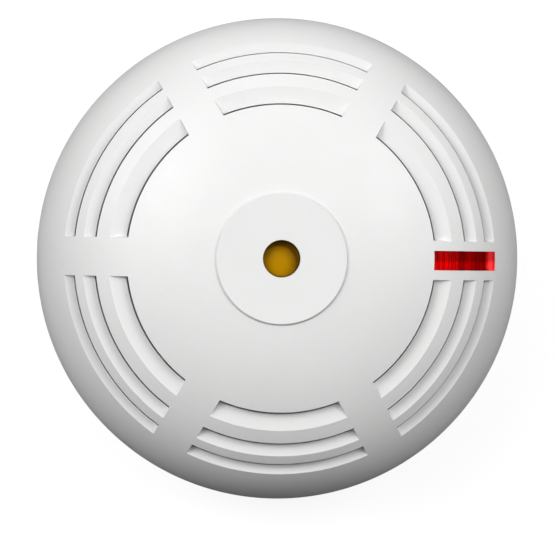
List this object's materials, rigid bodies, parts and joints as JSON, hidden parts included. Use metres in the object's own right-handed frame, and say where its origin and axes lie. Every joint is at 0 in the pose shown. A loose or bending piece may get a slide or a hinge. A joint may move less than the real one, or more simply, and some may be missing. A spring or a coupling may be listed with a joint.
{
  "type": "heat detector",
  "caption": "Round white point heat detector: a louvred dome head with a central sensor and a red indicator window, twisted onto a terminal base.",
  "frame": {"origin": "centre of the base's mounting face, on that face", "axes": "+Z out of the mounting face, through the middle of the dome's nose; +X towards the red indicator window; +Y completes the right-handed frame"},
  "size_m": [0.108, 0.108, 0.061],
  "materials": {
    "white_plastic": "satin moulded, warm white",
    "grey_plastic": "matt moulded, light grey",
    "spring_metal": "tin-plated spring strip",
    "plated_steel": "zinc plated",
    "brass": "bare brass",
    "board_laminate": "green solder mask",
    "black_epoxy": "moulded black epoxy",
    "bare_can": "bare metal can",
    "tan_ceramic": "fired ceramic",
    "led_resin": "clear diffused resin",
    "thermistor_bead": "dipped epoxy",
    "amber_cap": "smooth amber resin",
    "red_lens": "clear red, glossy, with fine ribs"
  },
  "bodies": {
    "base": {"mounting_base": "white_plastic", "base_contact_1": "spring_metal", "base_contact_2": "spring_metal", "base_contact_3": "spring_metal", "base_contact_4": "spring_metal", "terminal_screws": "plated_steel", "clamp_washers": "plated_steel", "terminal_nuts": "brass"},
    "head": {"head_back": "white_plastic", "contact_blade_1": "spring_metal", "contact_blade_2": "spring_metal", "contact_blade_3": "spring_metal", "contact_blade_4": "spring_metal", "circuit_board": "board_laminate", "board_screws": "plated_steel", "microcontroller": "black_epoxy", "voltage_regulator": "black_epoxy", "bridge_rectifier": "black_epoxy", "storage_capacitor": "bare_can", "surge_suppressor": "black_epoxy", "quartz_crystal": "bare_can", "chip_resistors": "black_epoxy", "chip_capacitors": "tan_ceramic", "indicator_led": "led_resin", "electronics_cover": "grey_plastic", "sensor_stalk": "grey_plastic", "thermistor": "thermistor_bead", "sensor_cap": "amber_cap", "light_guide": "red_lens", "front_cover": "white_plastic"}
  },
  "joints": [
    {"name": "head_twist", "type": "hinge", "parent": "base", "child": "head", "pos_m": [0, 0, 0.009], "axis": [0, 0, 1], "range_deg": [0, 20]}
  ]
}
